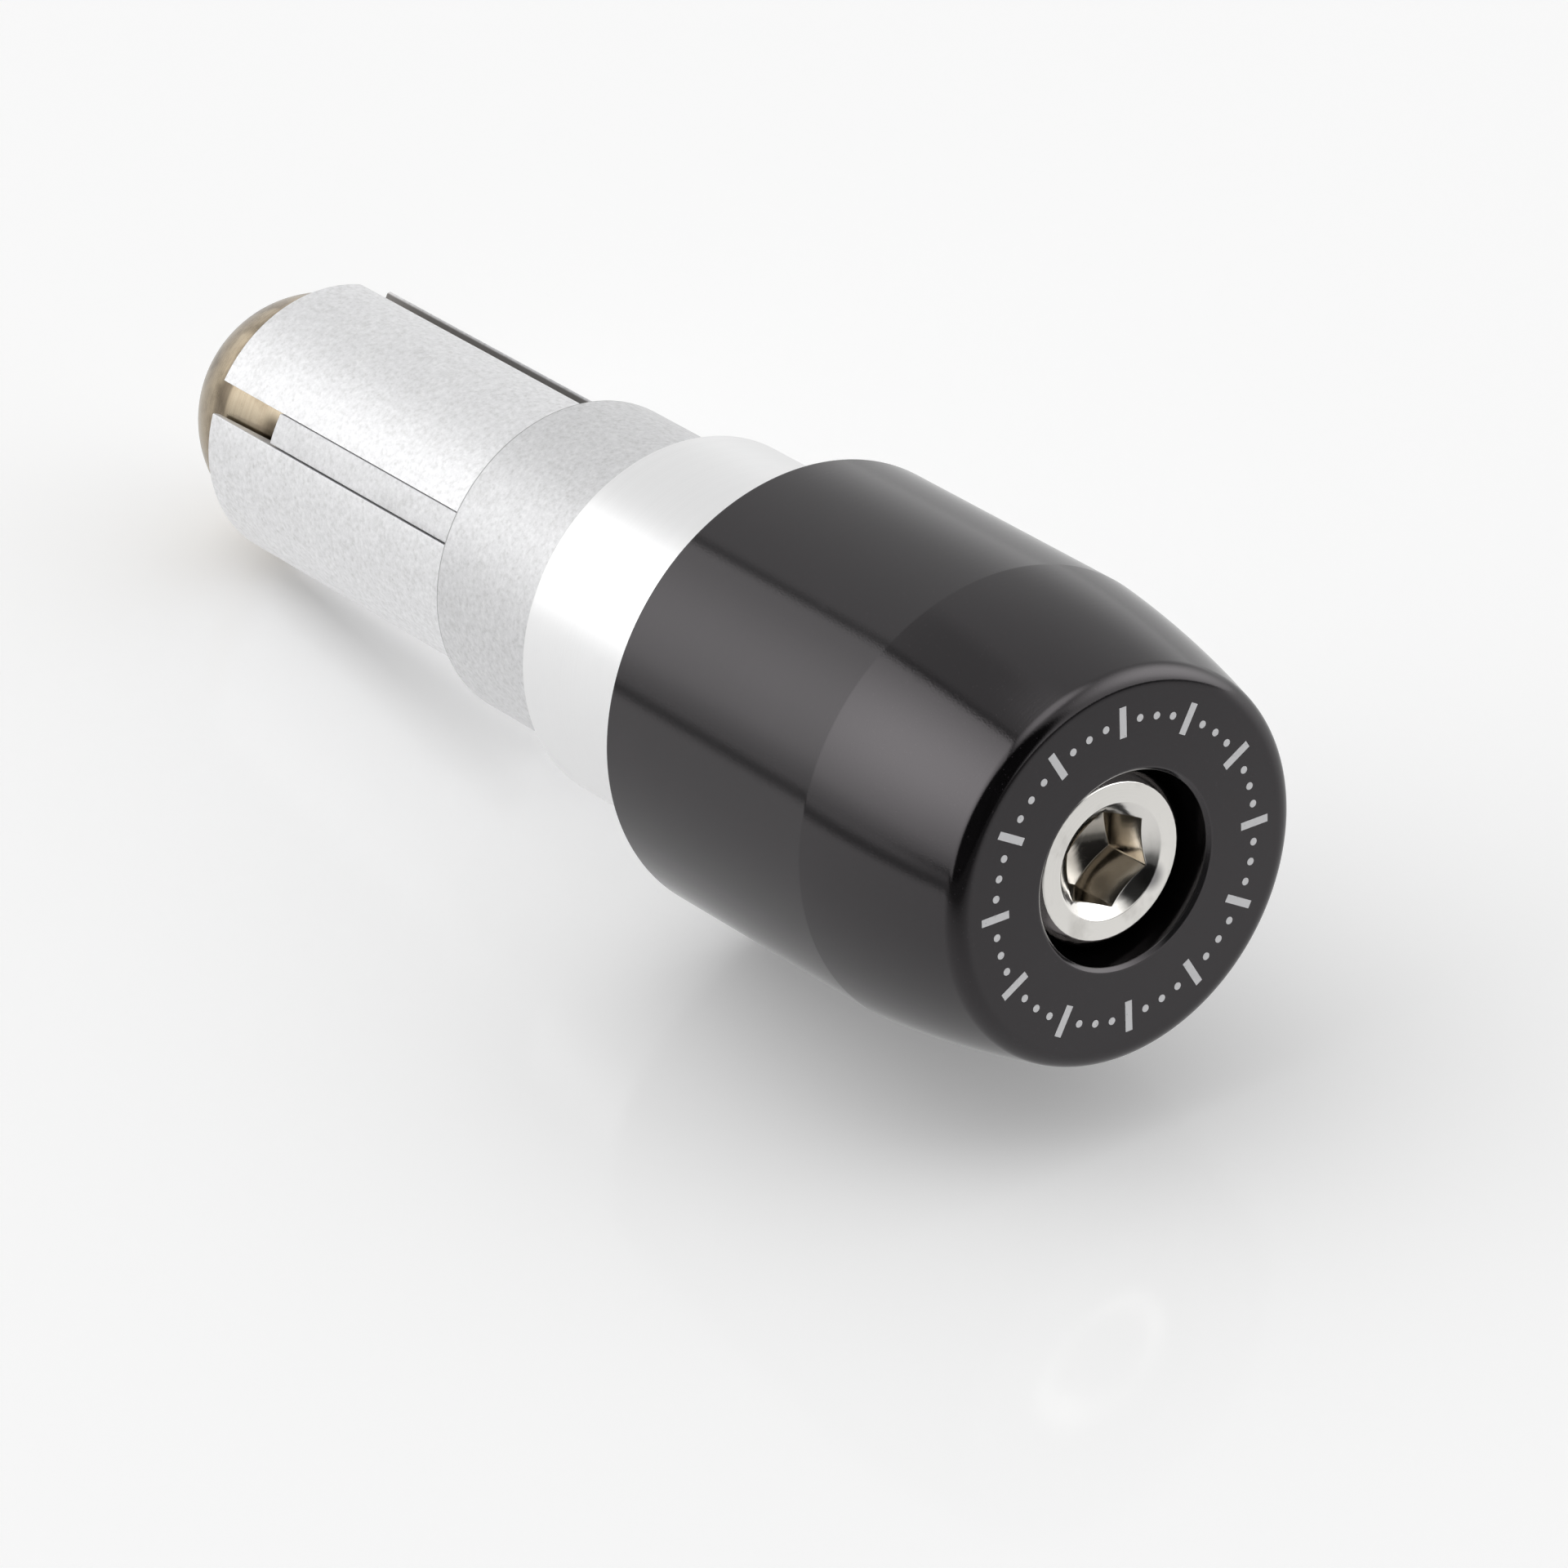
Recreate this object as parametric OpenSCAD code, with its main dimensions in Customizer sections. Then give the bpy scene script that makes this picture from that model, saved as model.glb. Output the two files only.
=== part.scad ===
// Bar end weight for the open end of a motorcycle handlebar, with a split sleeve that a wedge nut spreads.
// The axis lies along X and the weight is at +X. The origin is where the end of the bar butts on the collar.

/* [End weight] */
// Outside diameter of the straight part of the weight
weight_d = 26.5; // [24:0.5:32]
// Length of the weight between its two faces
weight_l = 28.8; // [24:0.1:60]
// Diameter where the taper meets the rounded front edge
nose_d = 23; // [20:0.1:23.8]
// Length of the taper and the rounded edge together
taper_l = 11.1; // [6:0.1:16]
// Outward bow of the taper from a straight cone
taper_bow = 0.2; // [0.05:0.01:0.4]
// Radius of the rounded front edge
edge_r = 1.1; // [0.5:0.05:2]
// Chamfer of the weight's rear rim
rear_chamfer = 0.3; // [0.1:0.05:0.6]

/* [Screw pocket] */
// Diameter of the pocket round the screw's head
pocket_d = 11.2; // [10.6:0.1:13]
// Depth of the screw's head below the front face
head_sink = 1.3; // [0.5:0.05:4]
// Chamfer at the mouth of the pocket
pocket_chamfer = 0.2; // [0.1:0.05:0.5]

/* [Spacer ring] */
// Outside diameter of the bright ring
ring_d = 21.6; // [19:0.1:23.8]
// Length of the bright ring
ring_l = 11.2; // [4:0.1:20]
// Chamfer of both rims of the bright ring
ring_chamfer = 0.2; // [0.1:0.05:0.6]

/* [Collar] */
// Outside diameter of the collar, a little under that of the bar
collar_d = 18.9; // [18:0.1:21]
// Length of the collar
collar_l = 10.2; // [5:0.1:18]
// Chamfer of the collar's rear rim
collar_chamfer = 0.2; // [0.1:0.05:0.4]
// Depth of the recess in the collar's rear that holds the front ends of the shells
recess_l = 3; // [3:0.5:6]
// Width of the two keys that stand out from the collar
key_w = 1.7; // [1.2:0.1:3]
// Length of the two keys past the collar's rear face
key_l = 18.6; // [8:0.1:21]
// Thickness of the two keys
key_t = 0.9; // [0.5:0.1:1]

/* [Split sleeve] */
// Outside diameter of the sleeve, which goes inside the bar
sleeve_d = 16.6; // [15.8:0.1:16.8]
// Length of the sleeve past the collar's rear face
sleeve_l = 24.5; // [22:0.1:32]
// Wall of the sleeve round its plain bore, ahead of its wedge seat
sleeve_wall = 2.9; // [2.5:0.1:3.8]
// Width of the open slot in the middle of each shell
slot_w = 2.2; // [1:0.1:4]
// Step down in radius where the sleeve enters the collar's recess
spigot_step = 0.2; // [0.1:0.05:0.3]
// Length of the bridge that joins the two fingers of a shell, inside the collar's recess
bridge_l = 2.6; // [0.8:0.1:2.8]
// Chamfer of the sleeve's end
sleeve_chamfer = 0.15; // [0.05:0.05:0.25]
// Angle of the upper open slot round the axis, counted from +Y to +Z
slot_angle = 62.5; // [0:2.5:360]

/* [Wedge nut] */
// How far the nut's widest rim lies inside the sleeve's outside
nut_inset = 0.9; // [0.7:0.05:1.1]
// Length of the nut's cone inside the sleeve
cone_l = 10.8; // [7:0.1:12]
// Slope of the nut's cone from the axis
cone_angle = 8.3; // [5:0.1:9]
// Length of the rounded end past the sleeve
dome_l = 7.4; // [5:0.1:12]

/* [Screw] */
// Nominal diameter of the screw
screw_d = 6; // [5:0.5:8]
// Length of the screw under its head
screw_l = 70; // [66:1:72]
// Diameter of the screw's head
head_d = 10; // [9:0.1:10.4]
// Height of the screw's head
head_h = 6; // [5:0.1:8]
// Chamfer on the edge of the screw's head
head_chamfer = 0.5; // [0.2:0.05:0.8]
// Width across the flats of the hex socket
socket_af = 5; // [4:0.1:5.2]
// Depth of the hex socket's walls
socket_depth = 3.5; // [2:0.1:4]
// Width of the countersink outside the corners of the socket
mouth_rim = 0.5; // [0.1:0.05:0.6]
// Angle of one socket corner round the axis, counted from +Y to +Z
socket_angle = 35; // [0:5:60]

/* [Clearances] */
// Radial clearance of the screw in its holes
shank_gap = 0.08; // [0.05:0.01:0.1]
// Gap between flat faces of pieces that move on each other
face_gap = 0.05; // [0.02:0.01:0.1]
// Radial gap between the nut's cone and its seat before the screw is tightened
wedge_gap = 0.3; // [0.26:0.01:0.34]
// Gap between each key and the upper shell
key_snug = 0.05; // [0.03:0.01:0.2]
// Radial gap round the shells' spigots in the collar's recess, which they spread into
recess_gap = 0.36; // [0.35:0.01:0.5]
// Gap between each key and the lower shell
key_slack = 0.25; // [0.1:0.05:0.8]

/* [Hidden] */

$fn = 96;
// Segments in the bowed taper, the rounded edge and the dome
curve_steps = 12;
// Extra length that lets a cut run past the face it opens
past = 1;

ring_x = collar_l;
weight_x = ring_x + ring_l;
face_x = weight_x + weight_l;
end_x = -sleeve_l;
shell_x = recess_l - face_gap;
head_x = face_x - head_sink - head_h;
hole_r = screw_d / 2 + shank_gap;
sleeve_r = sleeve_d / 2;
bore_r = sleeve_r - sleeve_wall;
spigot_r = sleeve_r - spigot_step;
recess_r = spigot_r + recess_gap;
nut_r = sleeve_r - nut_inset;
socket_r = socket_af / 2 / cos(30);
mouth_slope = tan(60);
cone_slope = tan(cone_angle);
seat_r = nut_r + wedge_gap;
key_turns = [slot_angle + 90, slot_angle + 270];

// Points along the bowed taper, from the straight part to the rounded edge
function taper_points() = [
    for (i = [0 : curve_steps])
        let (t = i / curve_steps)
        [
            (weight_d + (nose_d - weight_d) * t) / 2 + taper_bow * 4 * t * (1 - t),
            face_x - taper_l + (taper_l - edge_r) * t
        ]
];

// Points of a quarter round from the side of the weight to its front face
function edge_points() = [
    for (i = [1 : curve_steps])
        let (a = 90 * i / curve_steps)
        [nose_d / 2 - edge_r + edge_r * cos(a), face_x - edge_r + edge_r * sin(a)]
];

// Points of the nut's rounded end, from the sleeve to the tip
function dome_points() = [
    for (i = [0 : curve_steps])
        let (a = 90 * i / curve_steps)
        [nut_r * cos(a), end_x - dome_l * sin(a)]
];

// Turns an outline of radius and place along the axis into a solid about X
module turned(outline) {
    rotate([90, 0, 90])
        rotate_extrude()
            polygon(outline);
}

// A round bar or hole from one place on the axis to another
module round_x(r, from, to) {
    translate([from, 0, 0])
        rotate([90, 0, 90])
            cylinder(r = r, h = to - from);
}

// A cone about X from one radius and place to another
module cone_x(r1, from, r2, to) {
    translate([from, 0, 0])
        rotate([90, 0, 90])
            cylinder(r1 = r1, r2 = r2, h = to - from);
}

// The clearance hole for the screw through everything from one place to another
module screw_hole(from, to) {
    round_x(hole_r, from - past, to + past);
}

module end_weight() {
    side = [
        [0, weight_x],
        [weight_d / 2 - rear_chamfer, weight_x],
        [weight_d / 2, weight_x + rear_chamfer]
    ];
    color([0.16, 0.155, 0.16])
        difference() {
            turned(concat(side, taper_points(), edge_points(), [[0, face_x]]));
            round_x(pocket_d / 2, head_x - face_gap, face_x + past);
            cone_x(pocket_d / 2, face_x - pocket_chamfer,
                pocket_d / 2 + pocket_chamfer + past, face_x + past);
            screw_hole(weight_x, head_x);
        }
}

module spacer_ring() {
    r = ring_d / 2;
    color([0.95, 0.95, 0.95])
        difference() {
            turned([
                [0, ring_x],
                [r - ring_chamfer, ring_x],
                [r, ring_x + ring_chamfer],
                [r, weight_x - ring_chamfer],
                [r - ring_chamfer, weight_x],
                [0, weight_x]
            ]);
            screw_hole(ring_x, weight_x);
        }
}

// One key of the collar, flush with the outside of the sleeve
module key(turn) {
    root_x = recess_l + past;
    rotate([turn, 0, 0])
        intersection() {
            difference() {
                union() {
                    round_x(sleeve_r, -key_l, 0);
                    round_x(spigot_r, -key_l, root_x);
                }
                round_x(sleeve_r - key_t, -key_l - past, root_x + past);
            }
            translate([-key_l, 0, -key_w / 2])
                cube([key_l + root_x, sleeve_d, key_w]);
        }
}

module collar() {
    r = collar_d / 2;
    color([0.86, 0.86, 0.87])
        difference() {
            union() {
                turned([
                    [0, recess_l],
                    [recess_r, recess_l],
                    [recess_r, 0],
                    [r - collar_chamfer, 0],
                    [r, collar_chamfer],
                    [r, ring_x],
                    [0, ring_x]
                ]);
                for (turn = key_turns)
                    key(turn);
            }
            screw_hole(recess_l, ring_x);
        }
}

// The whole sleeve before it is split, with the wedge seat in its end
module sleeve_tube() {
    difference() {
        turned([
            [0, end_x],
            [sleeve_r - sleeve_chamfer, end_x],
            [sleeve_r, end_x + sleeve_chamfer],
            [sleeve_r, -face_gap],
            [spigot_r, -face_gap],
            [spigot_r, shell_x],
            [0, shell_x]
        ]);
        round_x(bore_r, end_x - past, shell_x + past);
        cone_x(seat_r + past * cone_slope, end_x - past,
            seat_r - sleeve_l * cone_slope, 0);
    }
}

// Half of the sleeve with one open slot in its middle, which leaves two fingers on a bridge
module half_shell(turn, edge_gap) {
    edge = key_w / 2 + edge_gap;
    rotate([turn, 0, 0])
        difference() {
            intersection() {
                sleeve_tube();
                translate([end_x - past, edge, -sleeve_d])
                    cube([shell_x - end_x + 2 * past, sleeve_d, 2 * sleeve_d]);
            }
            translate([end_x - past, 0, -slot_w / 2])
                cube([shell_x - end_x - bridge_l + past, sleeve_d, slot_w]);
        }
}

module shell_upper() {
    color([0.84, 0.84, 0.85])
        half_shell(slot_angle, key_snug);
}

module shell_lower() {
    color([0.82, 0.82, 0.83])
        half_shell(slot_angle + 180, key_slack);
}

module wedge_nut() {
    small_r = nut_r - cone_l * cone_slope;
    color([0.78, 0.68, 0.5])
        difference() {
            turned(concat(
                [[0, end_x + cone_l], [small_r, end_x + cone_l]],
                dome_points()
            ));
            screw_hole(end_x - dome_l, end_x + cone_l);
        }
}

// Everything that is cut from the screw's head: the hex with its pointed floor and its countersunk mouth
module hex_socket() {
    top = face_x - head_sink;
    point_x = top - socket_depth - socket_r / 2;
    mouth_r = socket_r + mouth_rim;
    intersection() {
        rotate([socket_angle, 0, 0])
            translate([point_x - past, 0, 0])
                rotate([90, 0, 90])
                    cylinder(r = socket_r, h = top - point_x + 2 * past, $fn = 6);
        cone_x(0, point_x, 2 * (top + past - point_x), top + past);
    }
    cone_x(0, top - mouth_r / mouth_slope, mouth_r + past * mouth_slope, top + past);
}

module clamp_screw() {
    r = head_d / 2;
    top = face_x - head_sink;
    tip_x = head_x - screw_l;
    tip_chamfer = screw_d / 8;
    color([0.85, 0.84, 0.82])
        difference() {
            union() {
                turned([
                    [0, head_x],
                    [r, head_x],
                    [r, top - head_chamfer],
                    [r - head_chamfer, top],
                    [0, top]
                ]);
                round_x(screw_d / 2, tip_x + tip_chamfer, head_x + past);
                cone_x(screw_d / 2 - tip_chamfer, tip_x, screw_d / 2, tip_x + tip_chamfer);
            }
            hex_socket();
        }
}

end_weight();
spacer_ring();
collar();
shell_upper();
shell_lower();
wedge_nut();
clamp_screw();
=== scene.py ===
# %% [markdown]
# This scene dresses the solids of a bar end weight, the turned metal plug that closes the end of a
# motorcycle handlebar and calms its vibration.
# The solids come in as a fixed frame, and every finished piece here is laid over one of them.

# %% Load the frame
from math import atan2, cos, degrees, hypot, pi, radians, sin, tan

import bmesh
import bpy
from mathutils import Matrix, Vector


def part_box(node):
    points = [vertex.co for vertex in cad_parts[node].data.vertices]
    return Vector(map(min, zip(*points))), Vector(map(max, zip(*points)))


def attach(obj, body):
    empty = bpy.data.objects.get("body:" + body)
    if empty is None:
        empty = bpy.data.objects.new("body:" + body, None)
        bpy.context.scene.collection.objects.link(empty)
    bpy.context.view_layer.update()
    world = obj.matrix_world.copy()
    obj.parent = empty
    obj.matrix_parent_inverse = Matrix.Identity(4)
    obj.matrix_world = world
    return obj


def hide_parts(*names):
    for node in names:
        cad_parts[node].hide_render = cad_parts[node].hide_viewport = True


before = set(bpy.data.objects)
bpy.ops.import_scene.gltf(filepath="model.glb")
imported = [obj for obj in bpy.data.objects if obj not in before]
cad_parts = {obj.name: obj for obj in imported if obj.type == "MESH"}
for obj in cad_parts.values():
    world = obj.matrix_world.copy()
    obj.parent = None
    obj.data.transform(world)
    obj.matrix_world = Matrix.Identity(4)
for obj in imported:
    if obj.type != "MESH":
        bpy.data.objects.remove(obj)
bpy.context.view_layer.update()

MM = 0.001

# %% [markdown]
# Most pieces of a bar end are turned on a lathe, so each is one outline spun about the long axis X.
# The main sizes are read from the boxes of the solids, so the dressed pieces follow them.
# Only what a box can't tell, such as the screw's hole and the angle of the keys, is written again here.
# The object's lengths are in millimetres here, and MM turns them into Blender's metres.

# %% Main sizes


def span(node):
    """The rear end, the front end and the radius of a turned node, in millimetres."""
    low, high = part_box(node)
    return low[0] / MM, high[0] / MM, (high[1] - low[1]) / 2 / MM


weight_x, face_x, weight_r = span("end_weight")
ring_x, ring_end, ring_r = span("spacer_ring")
key_end, collar_front, collar_r = span("collar")
nut_front, nut_r = span("wedge_nut")[1:]
screw_tip, head_top = span("clamp_screw")[:2]
sleeve_end = span("shell_upper")[0]
sleeve_r = 8.3
hole_r = 3.08
head_height = 6.0
head_x = head_top - head_height

# The keys stand at this angle from Y towards Z, and the two open slots a quarter turn further on
key_angle = radians(152.5)
across_open_slot = Vector((0, cos(key_angle), sin(key_angle)))
across_key = Vector((0, sin(key_angle), -cos(key_angle)))
print("weight from", round(weight_x, 2), "to", round(face_x, 2), "mm, radius", round(weight_r, 2))
print("ring", round(ring_x, 2), round(ring_end, 2), round(ring_r, 2))
print("collar", round(key_end, 2), round(collar_front, 2), round(collar_r, 2))
print("nut", round(nut_front, 2), round(nut_r, 2), "sleeve end", round(sleeve_end, 2))

# %% [markdown]
# A machined edge is never perfectly sharp. A tiny round on each corner catches a thin line of light,
# and that line is what tells the eye that a thing is metal.
# The outline helper puts a small arc on each corner that bends by more than 14 degrees, and marks its
# points as rim, so that a finish can paint a small highlight there. Two extra points near the ends of
# each long line keep the flats flat under smooth shading.

# %% Outline helper
SHARPEST_KEPT = radians(14)


def soften(corners, radius, steps=5, closed=True):
    """Rounds the corners of an outline of (place, radius) pairs and marks the new points as rim."""
    points = []
    count = len(corners)
    for i, here in enumerate(corners):
        corner = Vector(here)
        to_last = Vector(corners[i - 1]) - corner
        to_next = Vector(corners[(i + 1) % count]) - corner
        is_end = not closed and i in (0, count - 1)
        if is_end or pi - to_last.angle(to_next) < SHARPEST_KEPT:
            points.append((corner[0], corner[1], 0.0))
            continue
        bend = pi - to_last.angle(to_next)
        reach = min(radius * tan(bend / 2), 0.45 * to_last.length, 0.45 * to_next.length)
        start = corner + to_last.normalized() * reach
        stop = corner + to_next.normalized() * reach
        for k in range(steps + 1):
            t = k / steps
            spot = start * (1 - t) ** 2 + corner * 2 * t * (1 - t) + stop * t ** 2
            points.append((spot[0], spot[1], 1.0 if 0 < k < steps else 0.6))
    return points


def hold_flats(points, gap, closed=True):
    """Adds a point at a small gap from both ends of every long line of an outline."""
    held = []
    count = len(points)
    for i, here in enumerate(points):
        held.append(here)
        if i == count - 1 and not closed:
            break
        there = points[(i + 1) % count]
        length = hypot(there[0] - here[0], there[1] - here[1])
        if length > 4 * gap:
            for t in (gap / length, 1 - gap / length):
                held.append((here[0] + (there[0] - here[0]) * t,
                             here[1] + (there[1] - here[1]) * t, 0.0))
    return held


# %% [markdown]
# The lathe helper spins an outline into a closed mesh. A point on the axis becomes one pole.
# It also stores the rim mark of each point as an attribute that the materials can read.

# %% Lathe helper


def lathe(name, points, closed=True, segments=256):
    """A mesh turned about X from (place, radius, rim) points in millimetres."""
    shape = bmesh.new()
    rim = shape.verts.layers.float.new("rim")
    rings = []
    for place, radius, mark in points:
        turns = segments if radius > 1e-6 else 1
        ring = []
        for k in range(turns):
            angle = 2 * pi * k / segments
            spot = (place * MM, radius * cos(angle) * MM, radius * sin(angle) * MM)
            vert = shape.verts.new(spot)
            vert[rim] = mark
            ring.append(vert)
        rings.append(ring)
    pairs = list(zip(rings, rings[1:]))
    if closed:
        pairs.append((rings[-1], rings[0]))
    for ring, other in pairs:
        for k in range(segments):
            after = (k + 1) % segments
            if len(ring) == 1:
                corners = [ring[0], other[k], other[after]]
            elif len(other) == 1:
                corners = [ring[k], other[0], ring[after]]
            else:
                corners = [ring[k], other[k], other[after], ring[after]]
            shape.faces.new(corners)
    bmesh.ops.recalc_face_normals(shape, faces=shape.faces)
    mesh = bpy.data.meshes.new(name)
    shape.to_mesh(mesh)
    shape.free()
    mesh.shade_smooth()
    return mesh


def place_piece(name, mesh, body, nodes, material):
    """Puts a finished mesh in the scene, riding on its body in place of its CAD nodes."""
    piece = bpy.data.objects.new(name, mesh)
    bpy.context.scene.collection.objects.link(piece)
    piece.data.materials.clear()
    piece.data.materials.append(material)
    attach(piece, body)
    if nodes:
        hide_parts(*nodes)
    print(name, len(mesh.vertices), "points,", len(mesh.polygons), "faces")


# %% [markdown]
# Every finish is a tree of shader nodes, so a few short helpers keep the trees readable.
# They add a node with its settings, do a step of arithmetic, blend two colours, stretch a value from
# one range to another, measure a place, start a new material, bump its surface and stain its colour.
# All patterns read Object coordinates in metres, so they stay on the piece when it moves.

# %% Shader helpers


def add(tree, kind, values=None, **settings):
    """A new node with its settings, and values for its inputs by name or number."""
    made = tree.nodes.new(kind)
    for key, value in settings.items():
        setattr(made, key, value)
    for key, value in (values or {}).items():
        if isinstance(value, bpy.types.NodeSocket):
            tree.links.new(value, made.inputs[key])
        else:
            made.inputs[key].default_value = value
    return made


def calc(tree, operation, first, second=0.0):
    """One step of arithmetic on two values or sockets."""
    return add(tree, "ShaderNodeMath", {0: first, 1: second}, operation=operation).outputs[0]


def blend_colour(tree, factor, first, second):
    """The colour between two, by a mask. Inputs 0, 6 and 7 are the mix node's colour sockets."""
    return add(tree, "ShaderNodeMix", {0: factor, 6: first, 7: second}, data_type="RGBA").outputs[2]


def ramp(tree, value, low, high, out_low=0.0, out_high=1.0, smooth=True):
    """Turns the range from low to high into the range from out_low to out_high, with soft ends."""
    made = add(tree, "ShaderNodeMapRange", {"Value": value, "From Min": low, "From Max": high,
                                             "To Min": out_low, "To Max": out_high})
    made.interpolation_type = "SMOOTHSTEP" if smooth else "LINEAR"
    return made.outputs["Result"]


def dot_product(tree, place, direction):
    """How far a place lies along a direction."""
    made = add(tree, "ShaderNodeVectorMath", {0: place, 1: direction}, operation="DOT_PRODUCT")
    return made.outputs["Value"]


def from_axis(tree, where):
    """The place along the axis and the distance from it."""
    apart = add(tree, "ShaderNodeSeparateXYZ", {0: where}).outputs
    square = calc(tree, "ADD", calc(tree, "POWER", apart[1], 2.0), calc(tree, "POWER", apart[2], 2.0))
    return apart[0], calc(tree, "SQRT", square)


def new_finish(name):
    """A material with a Principled BSDF and the piece's Object coordinates."""
    made = bpy.data.materials.new(name)
    made.use_nodes = True
    tree = made.node_tree
    shader = tree.nodes["Principled BSDF"]
    where = tree.nodes.new("ShaderNodeTexCoord").outputs["Object"]
    print("finish", name)
    return made, tree, shader, where


def roughen(tree, shader, height, strength, depth=0.02):
    """Bumps the surface by a height that stands for a depth in millimetres."""
    bump = add(tree, "ShaderNodeBump", {"Strength": strength, "Distance": depth * MM, "Height": height})
    tree.links.new(bump.outputs[0], shader.inputs["Normal"])


def stain(tree, mask, strength, under, colour):
    """The colour underneath, stained with another one where a mask is high."""
    return blend_colour(tree, calc(tree, "MULTIPLY", mask, strength), under, colour)


# %% [markdown]
# A pattern that several finishes share is built once as a group of nodes, with named numbers for its
# sizes. A group gives only masks and heights, and each finish decides what to do with them.

# %% Group helpers


def group_inside(name, numbers, outputs):
    """An empty shader group with a Vector input, number inputs and outputs, and its inner ends."""
    group = bpy.data.node_groups.new(name, "ShaderNodeTree")
    group.interface.new_socket("Vector", in_out="INPUT", socket_type="NodeSocketVector")
    for label, value in numbers.items():
        socket = group.interface.new_socket(label, in_out="INPUT", socket_type="NodeSocketFloat")
        socket.default_value = value
    for label in outputs:
        group.interface.new_socket(label, in_out="OUTPUT", socket_type="NodeSocketFloat")
    start = group.nodes.new("NodeGroupInput")
    end = group.nodes.new("NodeGroupOutput")
    return group, start.outputs, end.inputs


def use(tree, group, where, **numbers):
    """A group in a material's tree, fed with its place and its numbers."""
    made = tree.nodes.new("ShaderNodeGroup")
    made.node_tree = group
    tree.links.new(where, made.inputs["Vector"])
    for label, value in numbers.items():
        made.inputs[label.replace("_", " ")].default_value = value
    return made.outputs


# %% [markdown]
# A lathe tool leaves fine grooves that run round the axis. On a side they step along the axis, and on
# a flat end they step out from the centre.
# One group serves every turned piece: it feeds noise with the place along the axis and the distance
# from it, so the noise can only change across the grooves.

# %% Group: turning lines
turning_lines, given, put = group_inside("turning lines", {"Spacing": 0.12, "Wander": 0.3},
                                         ["Height", "Tone"])
apart = add(turning_lines, "ShaderNodeSeparateXYZ", {0: given["Vector"]}).outputs
along_axis, reach = from_axis(turning_lines, given["Vector"])
per_line = calc(turning_lines, "DIVIDE", 1 / MM, given["Spacing"])
round_angle = calc(turning_lines, "ARCTAN2", apart[2], apart[1])
lines_at = add(turning_lines, "ShaderNodeCombineXYZ", {
    0: calc(turning_lines, "MULTIPLY", along_axis, per_line),
    1: calc(turning_lines, "MULTIPLY", reach, per_line),
    2: calc(turning_lines, "MULTIPLY", calc(turning_lines, "SINE", round_angle), given["Wander"])})
groove = add(turning_lines, "ShaderNodeTexNoise", {"Vector": lines_at.outputs[0], "Scale": 1.0,
                                                   "Detail": 2.0, "Roughness": 0.6}).outputs[0]
turning_lines.links.new(groove, put["Height"])
turning_lines.links.new(ramp(turning_lines, groove, 0.3, 0.7), put["Tone"])
print("group", turning_lines.name, len(turning_lines.nodes), "nodes")

# %% [markdown]
# Handling leaves cloudy marks: places where the surface is a little duller, darker or warmer.
# This group gives a soft cloud mask at a chosen size in millimetres, and a finer one inside it.

# %% Group: handling marks
handling_marks, given, put = group_inside("handling marks", {"Size": 4.0, "Cover": 0.5},
                                          ["Cloud", "Fleck"])
per_size = calc(handling_marks, "DIVIDE", 1 / MM, given["Size"])
cloud = add(handling_marks, "ShaderNodeTexNoise", {"Vector": given["Vector"], "Scale": per_size,
                                                   "Detail": 5.0, "Roughness": 0.55}).outputs[0]
spread = calc(handling_marks, "MULTIPLY", given["Cover"], 0.4)
low_edge = calc(handling_marks, "SUBTRACT", 0.72, spread)
handling_marks.links.new(ramp(handling_marks, cloud, low_edge, 0.78), put["Cloud"])
fleck = add(handling_marks, "ShaderNodeTexNoise", {
    "Vector": given["Vector"], "Scale": calc(handling_marks, "MULTIPLY", per_size, 7.0),
    "Detail": 3.0, "Roughness": 0.7}).outputs[0]
handling_marks.links.new(ramp(handling_marks, fleck, 0.58, 0.7), put["Fleck"])
print("group", handling_marks.name, len(handling_marks.nodes), "nodes")

# %% [markdown]
# Grain is the finest layer: the grit of a blasted surface or the pores of an anodised one.
# Its height drives a bump, and its pits are a mask of small dark points.

# %% Group: fine grain
fine_grain, given, put = group_inside("fine grain", {"Size": 0.2}, ["Height", "Pits"])
per_grain = calc(fine_grain, "DIVIDE", 1 / MM, given["Size"])
grit = add(fine_grain, "ShaderNodeTexNoise", {"Vector": given["Vector"], "Scale": per_grain,
                                              "Detail": 4.0, "Roughness": 0.65}).outputs[0]
fine_grain.links.new(grit, put["Height"])
cells = add(fine_grain, "ShaderNodeTexVoronoi", {"Vector": given["Vector"],
            "Scale": calc(fine_grain, "MULTIPLY", per_grain, 0.35)}).outputs["Distance"]
fine_grain.links.new(ramp(fine_grain, cells, 0.16, 0.06), put["Pits"])
print("group", fine_grain.name, len(fine_grain.nodes), "nodes")
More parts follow.
